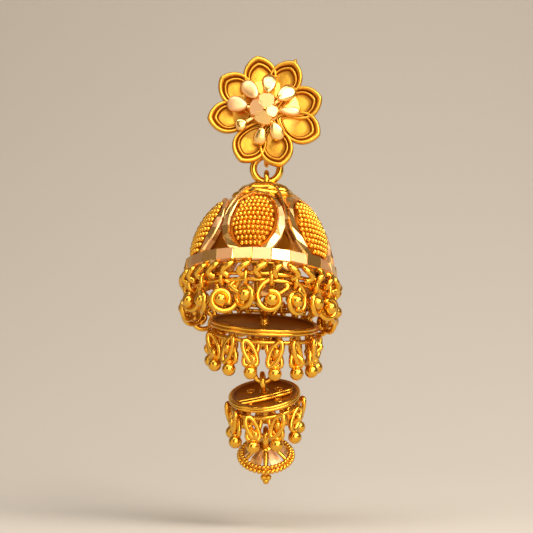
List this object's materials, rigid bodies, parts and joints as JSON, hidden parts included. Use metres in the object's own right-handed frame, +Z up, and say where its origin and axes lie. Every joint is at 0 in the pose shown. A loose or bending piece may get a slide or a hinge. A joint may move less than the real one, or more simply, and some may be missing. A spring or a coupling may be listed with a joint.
{
  "type": "jhumka earring",
  "caption": "Gold jhumka earring: layered flower stud, jump ring and a pierced dome, with plates, ball fringes, an end cap and a finial hanging below it.",
  "frame": {"origin": "where the post enters the ear lobe: the middle of the flower's flat back, which rests on the lobe", "axes": "+Z up, -Y towards the front of the flower, +Y along the post through the lobe, +X to the right seen from the front"},
  "size_m": [0.02, 0.0221, 0.0539],
  "materials": {
    "sandblasted_gold": "sandblasted 22 carat gold",
    "diamond_cut_gold": "diamond-cut and polished 22 carat gold",
    "drawn_wire_gold": "drawn wire and polished balls of 22 carat gold",
    "plain_gold": "plain polished gold"
  },
  "bodies": {
    "stud": {"flower_petals": "sandblasted_gold", "flower_leaves": "diamond_cut_gold", "flower_centre": "diamond_cut_gold", "ear_post": "plain_gold"},
    "ring": {"jump_ring": "drawn_wire_gold"},
    "drop": {"dome": "diamond_cut_gold", "dome_fringe": "drawn_wire_gold", "long_link": "drawn_wire_gold", "middle_plate": "diamond_cut_gold", "middle_fringe": "drawn_wire_gold", "middle_link": "drawn_wire_gold", "lower_plate": "diamond_cut_gold", "lower_fringe": "drawn_wire_gold", "lower_link": "drawn_wire_gold", "end_cap": "diamond_cut_gold", "finial": "drawn_wire_gold"}
  },
  "joints": [
    {"name": "ring_swing", "type": "hinge", "parent": "stud", "child": "ring", "pos_m": [0, 0.0012, -0.00504], "axis": [1, 0, 0], "range_deg": [-12, 45]},
    {"name": "drop_swing", "type": "hinge", "parent": "ring", "child": "drop", "pos_m": [0, 0.0012, -0.0068], "axis": [0, 1, 0], "range_deg": [-20, 20]}
  ]
}
